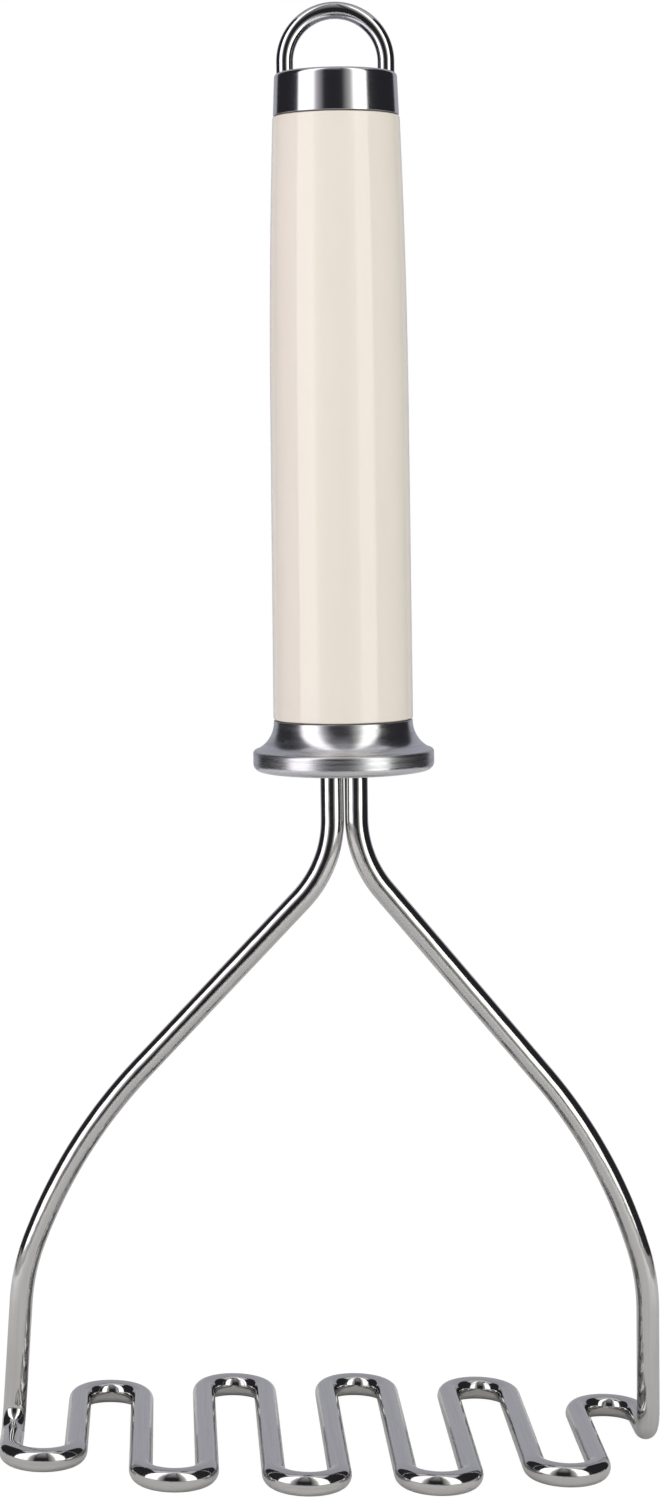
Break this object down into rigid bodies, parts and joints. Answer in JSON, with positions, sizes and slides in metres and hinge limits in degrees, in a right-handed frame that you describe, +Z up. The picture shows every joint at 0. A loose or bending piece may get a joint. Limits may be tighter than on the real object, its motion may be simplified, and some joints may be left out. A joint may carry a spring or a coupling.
{
  "type": "potato masher",
  "caption": "Wire potato masher with a flat zigzag grid on splayed legs, a round glossy grip, a flared metal collar and an end cap with a fixed hanging loop.",
  "frame": {"origin": "on the surface the grid rests on, at the middle of the grid", "axes": "+Z up, square to the grid, towards the handle; +X along the grid's long side; +Y away from the leg that turns forward"},
  "size_m": [0.121, 0.0648, 0.2602],
  "materials": {
    "polished_wire": "polished",
    "polished_rod": "polished",
    "satin_metal": "satin, turned",
    "grip_plastic": "gloss",
    "core_plastic": "as moulded",
    "plain_steel": "bright drawn",
    "insert_brass": "turned",
    "seal_rubber": "matt"
  },
  "bodies": {
    "root": {"mashing_wire": "polished_wire", "shank_sleeve": "plain_steel", "shank_pin": "plain_steel", "handle_core": "core_plastic", "collar": "satin_metal", "collar_seal": "seal_rubber", "handle_shell": "grip_plastic", "threaded_insert": "insert_brass", "cap_stud": "plain_steel", "cap_seal": "seal_rubber", "end_cap": "satin_metal", "hanging_loop": "polished_rod"}
  },
  "joints": []
}
